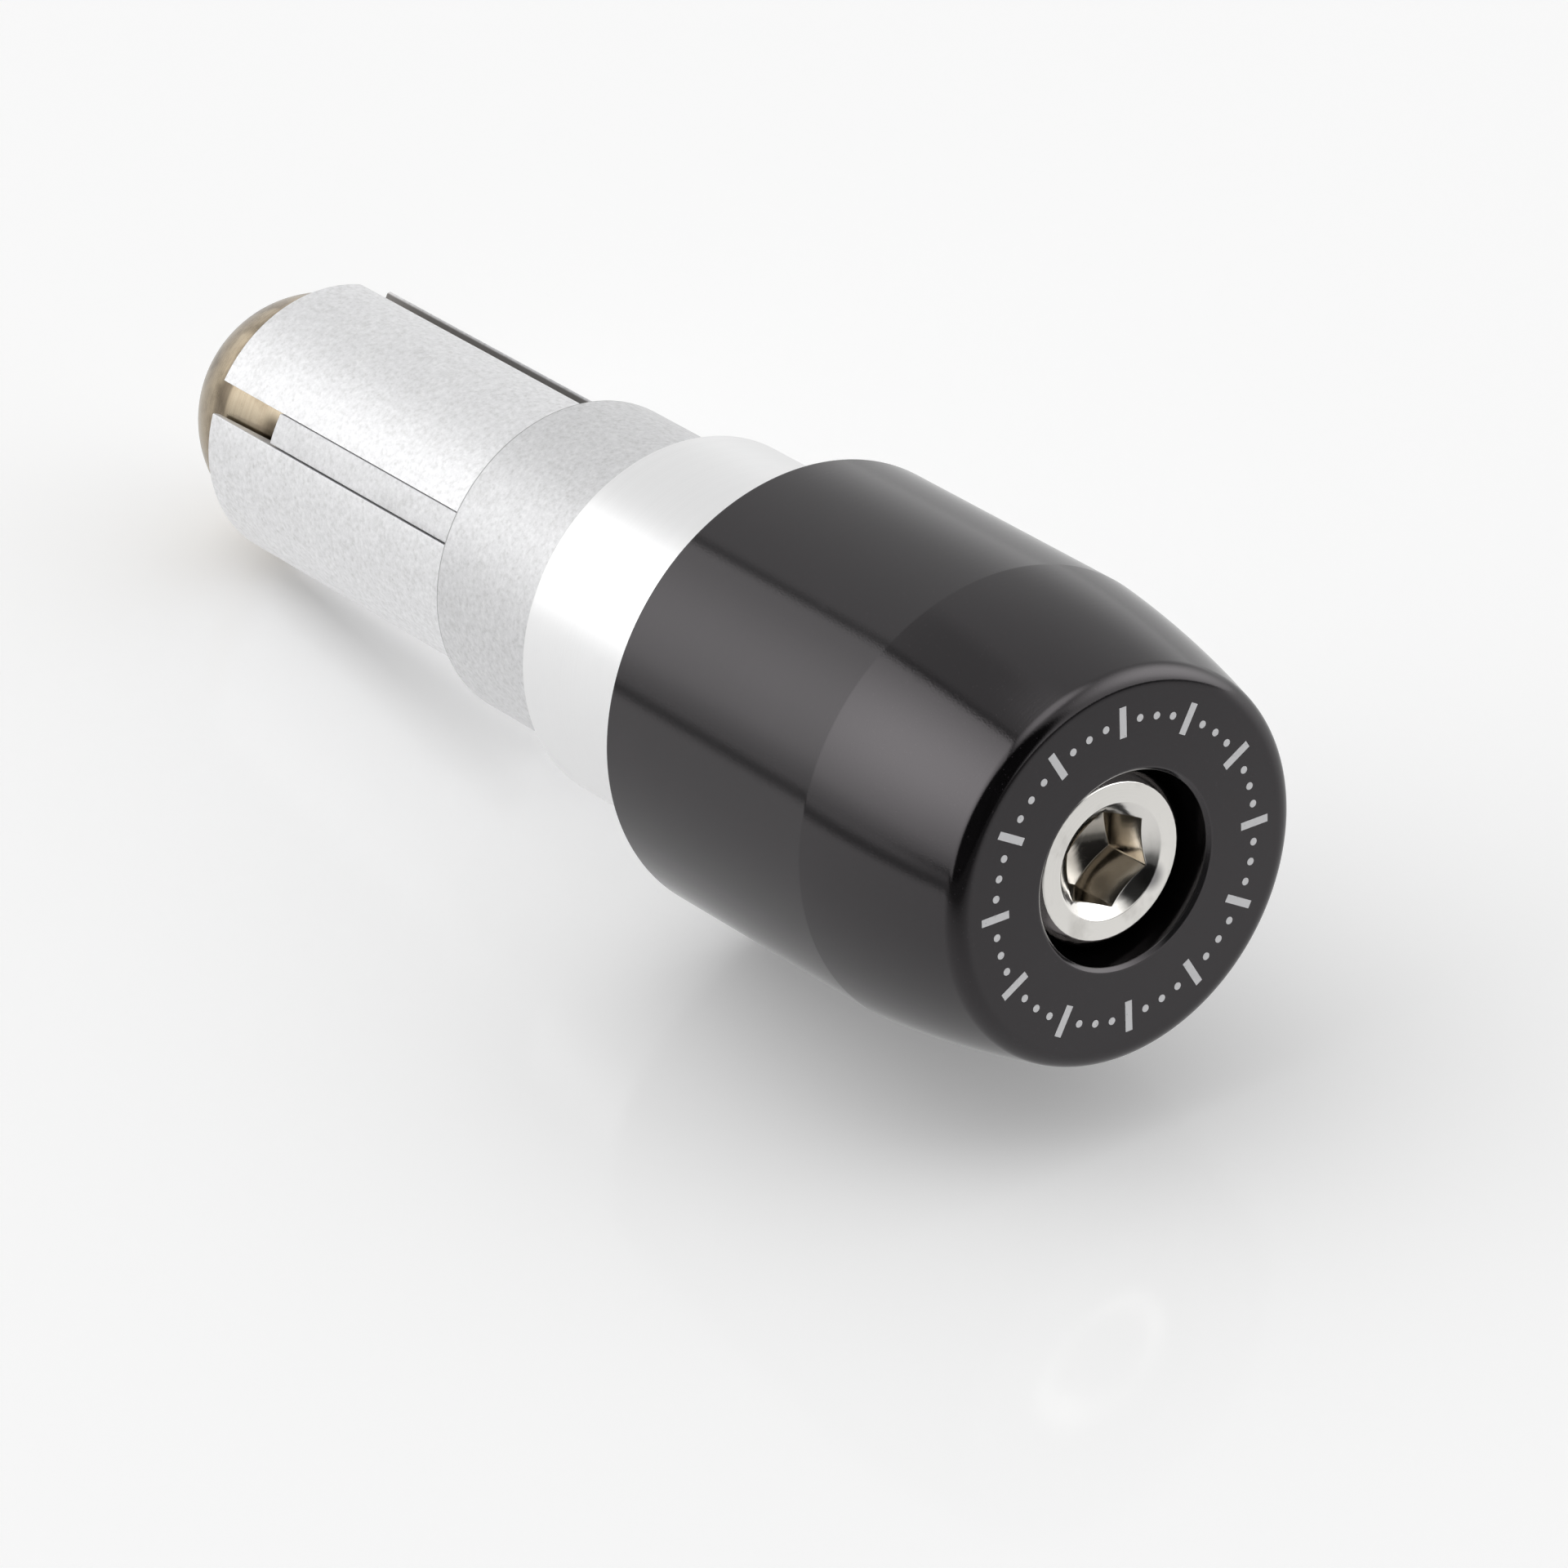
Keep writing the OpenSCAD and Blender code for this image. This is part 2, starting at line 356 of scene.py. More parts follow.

# %% [markdown]
# Black anodised aluminium is a dyed skin of oxide on bright metal. It looks like smooth dark glass
# with the turning lines faintly under it, and dust shows on it as pale specks.
# So the colour is nearly black, the gloss is fairly sharp and a little mauve, and the rounded rims are
# painted a shade lighter, a painted highlight where they catch a line of light.

# %% Black anodised skin
black_anodised, tree, shader, where = new_finish("black anodised")
lines = use(tree, turning_lines, where, Spacing=0.16, Wander=0.4)
marks = use(tree, handling_marks, where, Size=7.0, Cover=0.5)
grain = use(tree, fine_grain, where, Size=0.11)
rim_mark = add(tree, "ShaderNodeAttribute", attribute_name="rim").outputs["Fac"]
dye = (0.003, 0.0027, 0.003, 1)
thin_dye = (0.006, 0.0052, 0.006, 1)
dust = (0.06, 0.052, 0.058, 1)
rim_highlight = (0.14, 0.135, 0.14, 1)
skin = blend_colour(tree, marks["Cloud"], dye, thin_dye)
skin = stain(tree, grain["Pits"], 0.35, skin, dust)
# Painted highlight: the rounded rims are made a shade lighter.
skin = stain(tree, rim_mark, 0.15, skin, rim_highlight)
tree.links.new(skin, shader.inputs["Base Color"])
dull = ramp(tree, marks["Fleck"], 0.0, 1.0, 0.07, 0.12)
tree.links.new(dull, shader.inputs["Roughness"])
shader.inputs["IOR"].default_value = 1.62
shader.inputs["Specular Tint"].default_value = (0.99, 0.93, 0.965, 1)
height = calc(tree, "ADD", calc(tree, "MULTIPLY", lines["Height"], 0.5),
              calc(tree, "MULTIPLY", grain["Height"], 0.7))
roughen(tree, shader, height, 0.2)

# %% [markdown]
# The spacer ring is plain aluminium or steel with a fine turned finish, so bright that it mirrors the
# white room. The lines spread its reflections along the axis, which softens them into bands.

# %% Bright turned metal
bright_turned, tree, shader, where = new_finish("bright turned")
lines = use(tree, turning_lines, where, Spacing=0.09, Wander=0.2)
marks = use(tree, handling_marks, where, Size=5.0, Cover=0.4)
bright = blend_colour(tree, marks["Cloud"], (0.95, 0.95, 0.95, 1), (0.9, 0.9, 0.91, 1))
bright = stain(tree, lines["Tone"], 0.12, bright, (0.75, 0.75, 0.76, 1))
tree.links.new(bright, shader.inputs["Base Color"])
shader.inputs["Metallic"].default_value = 0.75
tree.links.new(ramp(tree, marks["Fleck"], 0.0, 1.0, 0.36, 0.42), shader.inputs["Roughness"])
roughen(tree, shader, lines["Height"], 0.25)

# %% [markdown]
# The collar and the split sleeve were blasted with fine grit, which leaves aluminium pale grey and
# quite matt. It soaks up grease, so it carries faint cloudy stains.
# One function makes both finishes. The collar is a shade darker and has a painted dark line of shadow
# along its rear rim. The sleeve has painted shade, dark grey, in its two open slots.

# %% Blasted aluminium


def blasted(name, shade):
    """A blasted finish at a given shade, with its tree and its colour ready for one more stain."""
    made, tree, shader, where = new_finish(name)
    marks = use(tree, handling_marks, where, Size=2.2, Cover=0.45)
    grain = use(tree, fine_grain, where, Size=0.3)
    clean = (shade, shade, shade * 1.01, 1)
    greasy = (shade * 0.86, shade * 0.86, shade * 0.85, 1)
    crest = (shade * 1.11, shade * 1.11, shade * 1.12, 1)
    trough = (shade * 0.86, shade * 0.86, shade * 0.86, 1)
    pit = (shade * 0.55, shade * 0.55, shade * 0.53, 1)
    grey = stain(tree, marks["Cloud"], 0.35, clean, greasy)
    grey = blend_colour(tree, ramp(tree, grain["Height"], 0.5, 0.66, 0.0, 0.8), grey, crest)
    grey = blend_colour(tree, ramp(tree, grain["Height"], 0.5, 0.34, 0.0, 0.8), grey, trough)
    grey = stain(tree, grain["Pits"], 0.25, grey, pit)
    shader.inputs["Metallic"].default_value = 0.55
    tree.links.new(ramp(tree, marks["Cloud"], 0.0, 1.0, 0.52, 0.62), shader.inputs["Roughness"])
    roughen(tree, shader, grain["Height"], 0.4, depth=0.03)
    return made, tree, shader, where, grey


blasted_collar, tree, shader, where, grey = blasted("blasted collar", 0.7)
along_axis, reach = from_axis(tree, where)
# Painted shadow: a dark line along the collar's rear rim, by the sleeve.
rim_shadow_line = calc(tree, "MULTIPLY", ramp(tree, along_axis, 0.32 * MM, 0.24 * MM),
            ramp(tree, reach, 9.2 * MM, 9.3 * MM))
tree.links.new(stain(tree, rim_shadow_line, 0.7, grey, (0.2, 0.2, 0.2, 1)), shader.inputs["Base Color"])

blasted_sleeve, tree, shader, where, grey = blasted("blasted sleeve", 0.82)
along_axis, reach = from_axis(tree, where)
off_slot = calc(tree, "ABSOLUTE", dot_product(tree, where, across_open_slot))
# Painted shade: the sleeve is dark grey inside its two open slots.
slot_shade = calc(tree, "MULTIPLY", ramp(tree, off_slot, 1.6 * MM, 1.2 * MM),
               ramp(tree, reach, (sleeve_r - 0.06) * MM, (sleeve_r - 0.2) * MM))
tree.links.new(stain(tree, slot_shade, 0.9, grey, (0.16, 0.15, 0.14, 1)), shader.inputs["Base Color"])

# %% [markdown]
# The wedge nut is a yellow metal, dulled to bronze. Its turning lines are coarser than the ring's.
# The rounded nose, out in the light beyond the sleeve, is painted lighter than the cone in the sleeve's
# shade.
# A painted dark reflection runs as a band round its widest part, and a painted shadow darkens it beside
# the end of the key.

# %% Yellow nut metal
yellow_nut, tree, shader, where = new_finish("yellow nut metal")
lines = use(tree, turning_lines, where, Spacing=0.14, Wander=0.3)
marks = use(tree, handling_marks, where, Size=2.6, Cover=0.75)
along_axis, reach = from_axis(tree, where)
# Painted reflection: a dark band round the widest part of the nose.
off_widest = calc(tree, "ABSOLUTE", calc(tree, "SUBTRACT", along_axis, (sleeve_end - 0.5) * MM))
widest_reflection_band = ramp(tree, off_widest, 0.9 * MM, 0.2 * MM)
# Painted light: the nose beyond the sleeve is lighter than the cone.
lit_nose = ramp(tree, along_axis, (sleeve_end - 0.6) * MM, (sleeve_end - 1.4) * MM)
# Painted shadow beside the end of the key.
key_end_shadow = calc(tree, "MULTIPLY", ramp(tree, along_axis, (key_end - 3.2) * MM, (key_end - 2.0) * MM),
              ramp(tree, dot_product(tree, where, across_key), 0.6 * MM, -0.4 * MM))
gold = blend_colour(tree, lit_nose, (0.33, 0.28, 0.205, 1), (0.52, 0.43, 0.3, 1))
gold = blend_colour(tree, marks["Cloud"], gold, (0.15, 0.11, 0.07, 1))
gold = stain(tree, widest_reflection_band, 0.6, gold, (0.17, 0.13, 0.09, 1))
gold = stain(tree, key_end_shadow, 0.85, gold, (0.04, 0.03, 0.02, 1))
gold = stain(tree, lines["Tone"], 0.2, gold, (0.2, 0.15, 0.1, 1))
tree.links.new(gold, shader.inputs["Base Color"])
shader.inputs["Metallic"].default_value = 1.0
tree.links.new(ramp(tree, marks["Fleck"], 0.0, 1.0, 0.2, 0.3), shader.inputs["Roughness"])
roughen(tree, shader, lines["Height"], 0.3)

# %% [markdown]
# The screw is stainless steel with a polished head. Deep in its socket the colour is painted warmer and
# darker with depth below the head's top, and darkest close to the axis, as painted shade. A hex key has
# left one dark smudge on the top.

# %% Screw steel
screw_steel, tree, shader, where = new_finish("screw steel")
lines = use(tree, turning_lines, where, Spacing=0.14, Wander=0.2)
marks = use(tree, handling_marks, where, Size=2.2, Cover=0.5)
along_axis, reach = from_axis(tree, where)
deep = ramp(tree, along_axis, (head_top - 0.5) * MM, (head_top - 1.4) * MM)
# Painted shade: warmer and darker with depth in the socket, darkest near the axis.
socket_shade = calc(tree, "MULTIPLY", ramp(tree, reach, 3.1 * MM, 2.9 * MM), deep)
socket_centre_shade = calc(tree, "MULTIPLY", ramp(tree, reach, 1.0 * MM, 0.2 * MM), deep)
smudge_at = Vector((head_top, 2.7, -1.8)) * MM
from_smudge = add(tree, "ShaderNodeVectorMath", {0: where, 1: smudge_at}, operation="DISTANCE")
smudge = ramp(tree, from_smudge.outputs["Value"], 1.1 * MM, 0.3 * MM)
steel = blend_colour(tree, marks["Cloud"], (0.93, 0.91, 0.87, 1), (0.76, 0.74, 0.7, 1))
steel = stain(tree, socket_shade, 0.85, steel, (0.52, 0.48, 0.42, 1))
steel = stain(tree, socket_centre_shade, 0.5, steel, (0.1, 0.09, 0.075, 1))
steel = stain(tree, smudge, 0.75, steel, (0.12, 0.12, 0.13, 1))
tree.links.new(steel, shader.inputs["Base Color"])
shader.inputs["Metallic"].default_value = 1.0
tree.links.new(ramp(tree, marks["Fleck"], 0.0, 1.0, 0.12, 0.2), shader.inputs["Roughness"])
roughen(tree, shader, lines["Height"], 0.15)

# %% [markdown]
# The marks on the front face are cut through the black skin by a laser, which leaves pale dull metal.

# %% Laser marks
laser_marks, tree, shader, where = new_finish("laser marks")
grain = use(tree, fine_grain, where, Size=0.12)
pale = blend_colour(tree, grain["Pits"], (0.6, 0.6, 0.61, 1), (0.42, 0.42, 0.43, 1))
tree.links.new(pale, shader.inputs["Base Color"])
shader.inputs["Metallic"].default_value = 0.3
shader.inputs["Roughness"].default_value = 0.55
roughen(tree, shader, grain["Height"], 0.3, depth=0.01)

# %% [markdown]
# The weight is the heavy turned body. Its side is straight, then a slightly bowed taper runs to a
# rounded edge and a flat front face with a pocket for the screw's head.
# It could be spun with the Screw modifier, but an outline in code gives the bow, the edge and the
# pocket their real sizes. The solid was built from the same numbers.
# The edge's arc starts where it is nearly in line with the taper, so no crease shows between them.

# %% End weight
nose_r = 11.5
taper_l = 11.1
taper_bow = 0.2
edge_r = 1.1
edge_start = 14.3
edge_steps = 15
taper_steps = 24
chamfer = 0.3
pocket_r = 5.6
pocket_lip = 0.2
pocket_floor = head_x - 0.05
fine_edge = 0.08
flat_gap = 0.08
side = [(weight_x, hole_r), (weight_x, weight_r - chamfer), (weight_x + chamfer, weight_r)]
edge = []
for i in range(edge_steps + 1):
    angle = radians(edge_start + (90 - edge_start) * i / edge_steps)
    edge.append((face_x - edge_r + edge_r * sin(angle), nose_r - edge_r + edge_r * cos(angle)))
taper_x = face_x - taper_l
edge_x, edge_out = edge[0]
taper = []
for i in range(taper_steps):
    t = i / taper_steps
    taper.append((taper_x + (edge_x - taper_x) * t,
                  weight_r + (edge_out - weight_r) * t + taper_bow * 4 * t * (1 - t)))
pocket = [(face_x, pocket_r + pocket_lip), (face_x - pocket_lip, pocket_r), (pocket_floor, pocket_r),
          (pocket_floor, hole_r)]
outline = hold_flats(soften(side + taper + edge + pocket, fine_edge), flat_gap)
place_piece("turned_weight", lathe("turned_weight", outline), "weight_stack", ["end_weight"],
            black_anodised)

# %% [markdown]
# The ring between the weight and the collar is a plain sleeve with small chamfers.

# %% Spacer ring
chamfer_in = 0.3
chamfer_along = 0.2
corners = [(ring_x, hole_r), (ring_x, ring_r - chamfer_in), (ring_x + chamfer_along, ring_r),
           (ring_end - chamfer_along, ring_r), (ring_end, ring_r - chamfer_in), (ring_end, hole_r)]
outline = hold_flats(soften(corners, radius=0.12), flat_gap)
place_piece("bright_ring", lathe("bright_ring", outline), "weight_stack", ["spacer_ring"],
            bright_turned)

# %% [markdown]
# The collar and the two half shells already have their right shapes as solids: a recess, two keys and
# open slots. Modelling them again would only risk a mismatch.
# So a copy of each solid is taken, its loose triangles are merged, flat neighbours are dissolved, and
# a narrow bevel rounds its edges.

# %% Bevelled copies of solids


def bevelled_copy(node, name, width, cut_at=None):
    """A merged copy of a CAD node with narrow rounded edges, as a plain mesh."""
    shape = bmesh.new()
    shape.from_mesh(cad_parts[node].data)
    bmesh.ops.remove_doubles(shape, verts=shape.verts, dist=0.000002)
    bmesh.ops.dissolve_limit(shape, angle_limit=radians(0.4), verts=shape.verts, edges=shape.edges)
    if cut_at is not None:
        everything = shape.verts[:] + shape.edges[:] + shape.faces[:]
        bmesh.ops.bisect_plane(shape, geom=everything, plane_co=(cut_at * MM, 0, 0),
                               plane_no=(-1, 0, 0), clear_outer=True)
        open_edges = [edge for edge in shape.edges if edge.is_boundary]
        bmesh.ops.holes_fill(shape, edges=open_edges, sides=0)
    mesh = bpy.data.meshes.new(name)
    shape.to_mesh(mesh)
    shape.free()
    mesh.shade_smooth()
    work = bpy.data.objects.new(name + "_work", mesh)
    bpy.context.scene.collection.objects.link(work)
    bevel = work.modifiers.new("edges", "BEVEL")
    bevel.width = width * MM
    bevel.segments = 3
    bevel.limit_method = "ANGLE"
    bevel.angle_limit = radians(25)
    flats = work.modifiers.new("flats", "WEIGHTED_NORMAL")
    flats.mode = "FACE_AREA_WITH_ANGLE"
    flats.weight = 100
    evaluated = work.evaluated_get(bpy.context.evaluated_depsgraph_get())
    finished = bpy.data.meshes.new_from_object(evaluated)
    bpy.data.objects.remove(work)
    finished.name = name
    return finished


# On the real object each key nearly fills its slot, so it grows a little towards the lower shell
key_growth = 0.14
collar_mesh = bevelled_copy("collar", "keyed_collar", width=0.09)
for vert in collar_mesh.vertices:
    if vert.co.x < -0.05 * MM and vert.co.dot(across_key) < 0:
        vert.co -= across_key * key_growth * MM
place_piece("keyed_collar", collar_mesh, "weight_stack", ["collar"], blasted_collar)
for half in ("upper", "lower"):
    half_mesh = bevelled_copy("shell_" + half, half + "_half", width=0.08)
    place_piece(half + "_half", half_mesh, half + "_shell", ["shell_" + half],
                blasted_sleeve)

# %% [markdown]
# The wedge nut is a cone that ends in a rounded nose. It is turned, so it goes through the lathe too.

# %% Wedge nut
cone_angle = radians(8.3)
nose_l = 7.4
nose_steps = 32
small_r = nut_r - (nut_front - sleeve_end) * tan(cone_angle)
corners = [(nut_front, hole_r), (nut_front, small_r), (sleeve_end, nut_r)]
for i in range(1, nose_steps + 1):
    angle = radians(90 * i / nose_steps)
    radius = nut_r * cos(angle)
    if radius < hole_r:
        break
    corners.append((sleeve_end - nose_l * sin(angle), radius))
nose_end = sleeve_end - nose_l * (1 - (hole_r / nut_r) ** 2) ** 0.5
corners.append((nose_end, hole_r))
outline = hold_flats(soften(corners, radius=0.1), flat_gap)
place_piece("wedge_nut_body", lathe("wedge_nut_body", outline), "nut", ["wedge_nut"],
            yellow_nut)

# %% [markdown]
# The screw's head keeps the solid's hex socket, so it starts as a bevelled copy. Its plain shank is
# cut off past the head and a smaller core takes its place.

# %% Screw head and core
shank_cut = head_x - 8
head_mesh = bevelled_copy("clamp_screw", "socket_head", width=0.06, cut_at=shank_cut)
place_piece("socket_head", head_mesh, "screw", ["clamp_screw"], screw_steel)

core_r = 2.45
core_end = shank_cut + 0.1
outline = soften([(screw_tip, 0.0), (screw_tip, core_r - 0.5), (screw_tip + 0.6, core_r),
                  (core_end, core_r), (core_end, 0.0)], radius=0.05, closed=False)
core_mesh = lathe("thread_core", hold_flats(outline, flat_gap, closed=False), closed=False, segments=96)
place_piece("thread_core", core_mesh, "screw", ["clamp_screw"], screw_steel)

# %% [markdown]
# A thread follows a path: it is one ridge that climbs round the core by its pitch at every turn.
# Geometry Nodes make it from a Spiral curve, swept with a small three-sided profile. The sizes are
# named inputs, so another screw only needs other numbers.

# %% Thread by Geometry Nodes


def nodes_tree(name, inputs):
    """A Geometry Nodes tree with named number inputs and one geometry output."""
    made = bpy.data.node_groups.new(name, "GeometryNodeTree")
    made.interface.new_socket("Geometry", in_out="INPUT", socket_type="NodeSocketGeometry")
    made.interface.new_socket("Geometry", in_out="OUTPUT", socket_type="NodeSocketGeometry")
    for label, (kind, value) in inputs.items():
        socket = made.interface.new_socket(label, in_out="INPUT", socket_type=kind)
        socket.default_value = value
    return made, made.nodes.new("NodeGroupInput").outputs, made.nodes.new("NodeGroupOutput").inputs


def finish_tree(made, shape, given, put):
    """Ends a tree: real geometry in place of instances, in the material that the tree is given."""
    real = add(made, "GeometryNodeRealizeInstances", {0: shape}).outputs[0]
    dressed = add(made, "GeometryNodeSetMaterial", {"Geometry": real, "Material": given["Material"]})
    made.links.new(dressed.outputs[0], put["Geometry"])


def run_tree(made, name, values):
    """Runs a tree on an empty object and returns the result as a plain mesh."""
    work = bpy.data.objects.new(name + "_work", bpy.data.meshes.new(name + "_work"))
    bpy.context.scene.collection.objects.link(work)
    modifier = work.modifiers.new("nodes", "NODES")
    modifier.node_group = made
    for socket in made.interface.items_tree:
        if socket.item_type == "SOCKET" and socket.in_out == "INPUT" and socket.name in values:
            modifier[socket.identifier] = values[socket.name]
    evaluated = work.evaluated_get(bpy.context.evaluated_depsgraph_get())
    mesh = bpy.data.meshes.new_from_object(evaluated)
    mesh.name = name
    work.modifiers.clear()
    bpy.data.objects.remove(work)
    return mesh


thread_tree, given, put = nodes_tree("thread ridge", {
    "Turns": ("NodeSocketFloat", 10.0), "Pitch": ("NodeSocketFloat", 0.001),
    "Radius": ("NodeSocketFloat", 0.003), "Ridge": ("NodeSocketFloat", 0.0003),
    "Start": ("NodeSocketFloat", 0.0), "Material": ("NodeSocketMaterial", None)})
height = calc(thread_tree, "MULTIPLY", given["Turns"], given["Pitch"])
spiral = add(thread_tree, "GeometryNodeCurveSpiral", {
    "Resolution": 28, "Rotations": given["Turns"], "Start Radius": given["Radius"],
    "End Radius": given["Radius"], "Height": height}).outputs[0]
profile = add(thread_tree, "GeometryNodeCurvePrimitiveCircle", {
    "Resolution": 3, "Radius": given["Ridge"]}).outputs[0]
sweep = add(thread_tree, "GeometryNodeCurveToMesh", {
    "Curve": spiral, "Profile Curve": profile, "Fill Caps": True}).outputs[0]
start_at = add(thread_tree, "ShaderNodeCombineXYZ", {0: given["Start"]}).outputs[0]
laid = add(thread_tree, "GeometryNodeTransform", {
    "Geometry": sweep, "Rotation": (0, pi / 2, 0), "Translation": start_at}).outputs[0]
finish_tree(thread_tree, laid, given, put)

pitch = 1.0
thread_start = screw_tip + 1.0
thread_turns = float(int((shank_cut - 0.6 - thread_start) / pitch))
ridge_mesh = run_tree(thread_tree, "thread_ridge", {
    "Turns": thread_turns, "Pitch": pitch * MM, "Radius": 2.56 * MM, "Ridge": 0.38 * MM,
    "Start": thread_start * MM, "Material": screw_steel})
place_piece("thread_ridge", ridge_mesh, "screw", ["clamp_screw"], screw_steel)
print(int(thread_turns), "turns of thread")

# %% [markdown]
# Round the front face runs a ring of plain marks, twelve bars with three dots between each two, like
# the scale of a dial. They repeat by a rule, so Geometry Nodes set one bar or one dot on each point of
# a circle and turn it to point at the centre.

# %% Marks by Geometry Nodes
marks_tree, given, put = nodes_tree("ring of marks", {
    "Count": ("NodeSocketInt", 48), "Radius": ("NodeSocketFloat", 0.0087),
    "Bar Length": ("NodeSocketFloat", 0.0018), "Bar Width": ("NodeSocketFloat", 0.0005),
    "Dot": ("NodeSocketFloat", 0.00022), "Height": ("NodeSocketFloat", 0.00002),
    "Place": ("NodeSocketFloat", 0.0), "Material": ("NodeSocketMaterial", None)})
circle = add(marks_tree, "GeometryNodeMeshCircle", {
    "Vertices": given["Count"], "Radius": given["Radius"]}).outputs[0]
number = marks_tree.nodes.new("GeometryNodeInputIndex").outputs[0]
turn = calc(marks_tree, "MULTIPLY", number, calc(marks_tree, "DIVIDE", 2 * pi, given["Count"]))
turn_axes = add(marks_tree, "ShaderNodeCombineXYZ", {2: turn}).outputs[0]
facing = add(marks_tree, "FunctionNodeEulerToRotation", {0: turn_axes}).outputs[0]
place_in_four = calc(marks_tree, "MODULO", number, 4.0)
bar_size = add(marks_tree, "ShaderNodeCombineXYZ", {
    0: given["Bar Length"], 1: given["Bar Width"], 2: given["Height"]}).outputs[0]
bar = add(marks_tree, "GeometryNodeMeshCube", {"Size": bar_size}).outputs[0]
dot = add(marks_tree, "GeometryNodeMeshCylinder", {
    "Vertices": 12, "Radius": given["Dot"], "Depth": given["Height"]}).outputs[0]
both = marks_tree.nodes.new("GeometryNodeJoinGeometry")
for mark, test in ((bar, "LESS_THAN"), (dot, "GREATER_THAN")):
    chosen = add(marks_tree, "FunctionNodeCompare", {0: place_in_four, 1: 0.5}, operation=test)
    copies = add(marks_tree, "GeometryNodeInstanceOnPoints", {
        "Points": circle, "Selection": chosen.outputs[0], "Instance": mark, "Rotation": facing})
    marks_tree.links.new(copies.outputs[0], both.inputs[0])
place_at = add(marks_tree, "ShaderNodeCombineXYZ", {0: given["Place"]}).outputs[0]
on_face = add(marks_tree, "GeometryNodeTransform", {
    "Geometry": both.outputs[0], "Rotation": (pi / 2, 0, pi / 2), "Translation": place_at}).outputs[0]
finish_tree(marks_tree, on_face, given, put)

mark_mesh = run_tree(marks_tree, "face_marks", {
    "Count": 48, "Radius": 8.7 * MM, "Bar Length": 1.8 * MM, "Bar Width": 0.45 * MM,
    "Dot": 0.22 * MM, "Height": 0.03 * MM, "Place": face_x * MM, "Material": laser_marks})
place_piece("face_marks", mark_mesh, "weight_stack", [], laser_marks)

# %% [markdown]
# The object lies on a white table on two points: the rear rim of the weight and the end of the sleeve.
# The frame's X runs along the object, so the table is the plane that leans a little against it.

# %% Floor
up = Vector((0.1107, -0.04335, 0.99295)).normalized()
lowest = min(vert.co.dot(up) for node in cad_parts.values() for vert in node.data.vertices)
foot = up * lowest
flat_x = (Vector((1, 0, 0)) - up * up[0]).normalized()
flat_y = up.cross(flat_x)
under_middle = 12
centre = foot + flat_x * under_middle * MM
table_r = 2.5
rim_count = 64
table_rim = []
for k in range(rim_count):
    angle = 2 * pi * k / rim_count
    table_rim.append(centre + flat_x * table_r * cos(angle) + flat_y * table_r * sin(angle))
table_mesh = bpy.data.meshes.new("table")
table_mesh.from_pydata(table_rim, [], [list(range(rim_count))])
table = bpy.data.objects.new("table", table_mesh)
bpy.context.scene.collection.objects.link(table)
print("table touches at", round(lowest / MM, 2), "mm")

# %% [markdown]
# The table's white is a little glossy. It glows a little too, more for light that bounces than for the
# camera, so that the shadow stays soft and the metal above it stays bright.
# In reflections it is darker in front of the object and in a strip at its side, as the dark bands on
# the real weight show. It is see-through from below, so that a low view isn't blocked.

# %% Table finish
table_white, tree, shader, where = new_finish("white table")
shader.inputs["Base Color"].default_value = (0.9, 0.9, 0.9, 1)
shader.inputs["Roughness"].default_value = 0.1
shader.inputs["Specular IOR Level"].default_value = 0.14
shader.inputs["Emission Color"].default_value = (1, 1, 1, 1)


def across_table(direction):
    """The distance over the table along a direction, from under the middle of the object."""
    offset = add(tree, "ShaderNodeVectorMath", {0: where, 1: foot}, operation="SUBTRACT").outputs[0]
    return dot_product(tree, offset, direction)


light_path = tree.nodes.new("ShaderNodeLightPath").outputs
glow_for_bounces = 0.72
glow_for_camera = 0.2
tree.links.new(ramp(tree, light_path["Is Camera Ray"], 0.0, 1.0, glow_for_bounces, glow_for_camera),
               shader.inputs["Emission Strength"])
ahead = across_table(flat_x * 0.894 - flat_y * 0.447)
half_dark = 0.52
in_front = calc(tree, "MAXIMUM", ramp(tree, ahead, 20 * MM, 42 * MM, 0.0, half_dark),
                ramp(tree, ahead, 55 * MM, 150 * MM, half_dark, 0.95, smooth=False))
to_side = across_table(-flat_y)
strip = calc(tree, "MULTIPLY", ramp(tree, to_side, 98 * MM, 112 * MM),
             ramp(tree, to_side, 170 * MM, 250 * MM, 0.85, 0.55))
dark_part = calc(tree, "MULTIPLY", calc(tree, "MAXIMUM", in_front, strip), light_path["Is Glossy Ray"])
dark = add(tree, "ShaderNodeEmission", {"Color": (0.05, 0.05, 0.05, 1), "Strength": 1.0})
shaded = add(tree, "ShaderNodeMixShader", {0: dark_part, 1: shader.outputs[0], 2: dark.outputs[0]})
below = tree.nodes.new("ShaderNodeNewGeometry").outputs["Backfacing"]
clear = tree.nodes.new("ShaderNodeBsdfTransparent")
final = add(tree, "ShaderNodeMixShader", {0: below, 1: shaded.outputs[0], 2: clear.outputs[0]})
tree.links.new(final.outputs[0], tree.nodes["Material Output"].inputs["Surface"])
table_mesh.materials.append(table_white)

# %% [markdown]
# Metal shows the room more than its own colour, so the room matters as much as the finish.
# This one is made of a few simple parts: a dim ceiling, a bright wall with a glow in it, and a straight
# edge with a dark seam between them that runs up across the room. A lamp glows beside the front of the
# object and another one overhead, and the whole side where the camera stands is dark.
# Reflections see all of it. Plain light, which falls on matt surfaces, gets a calmer copy of the room,
# so that the white table doesn't clip. The camera sees plain white behind everything.

# %% Room
world = bpy.data.worlds.new("room")
bpy.context.scene.world = world
world.use_nodes = True
tree = world.node_tree
tree.nodes.clear()
look = tree.nodes.new("ShaderNodeTexCoord").outputs["Generated"]


